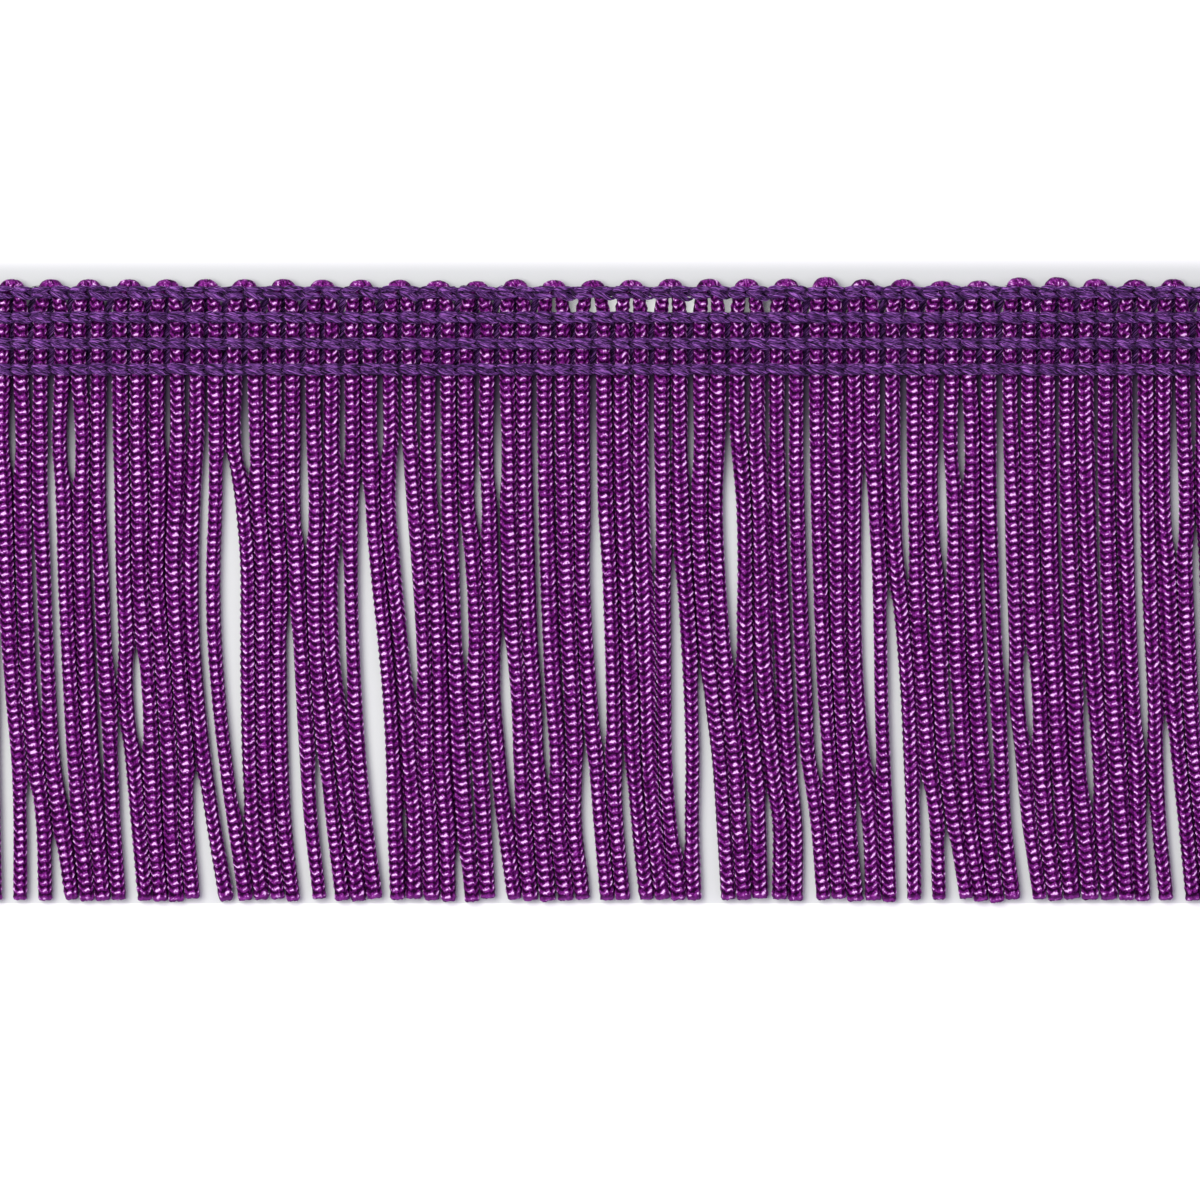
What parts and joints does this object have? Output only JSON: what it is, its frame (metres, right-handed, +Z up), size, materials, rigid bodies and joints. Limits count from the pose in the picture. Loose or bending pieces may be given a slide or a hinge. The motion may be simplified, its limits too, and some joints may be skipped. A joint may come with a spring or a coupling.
{
  "type": "chainette fringe trim",
  "caption": "Flat cut length of fringe trim: tube-knitted cord looped back and forth, bound by chain-stitch rows along its heading and cut open below.",
  "frame": {"origin": "centre of the underside of the whole trim's box, on the surface it lies on", "axes": "+X along the heading, +Y from the fringe's cut ends to the picot edge, +Z up, away from the surface"},
  "size_m": [0.1064, 0.0512, 0.002],
  "materials": {
    "chainette_cord": "glossy tube-knitted rayon, purple",
    "heading_yarn": "matte spun yarn, violet"
  },
  "bodies": {
    "root": {"fringe": "chainette_cord", "chain_row_1": "heading_yarn", "chain_row_2": "heading_yarn", "chain_row_3": "heading_yarn", "chain_row_4": "heading_yarn"}
  },
  "joints": []
}
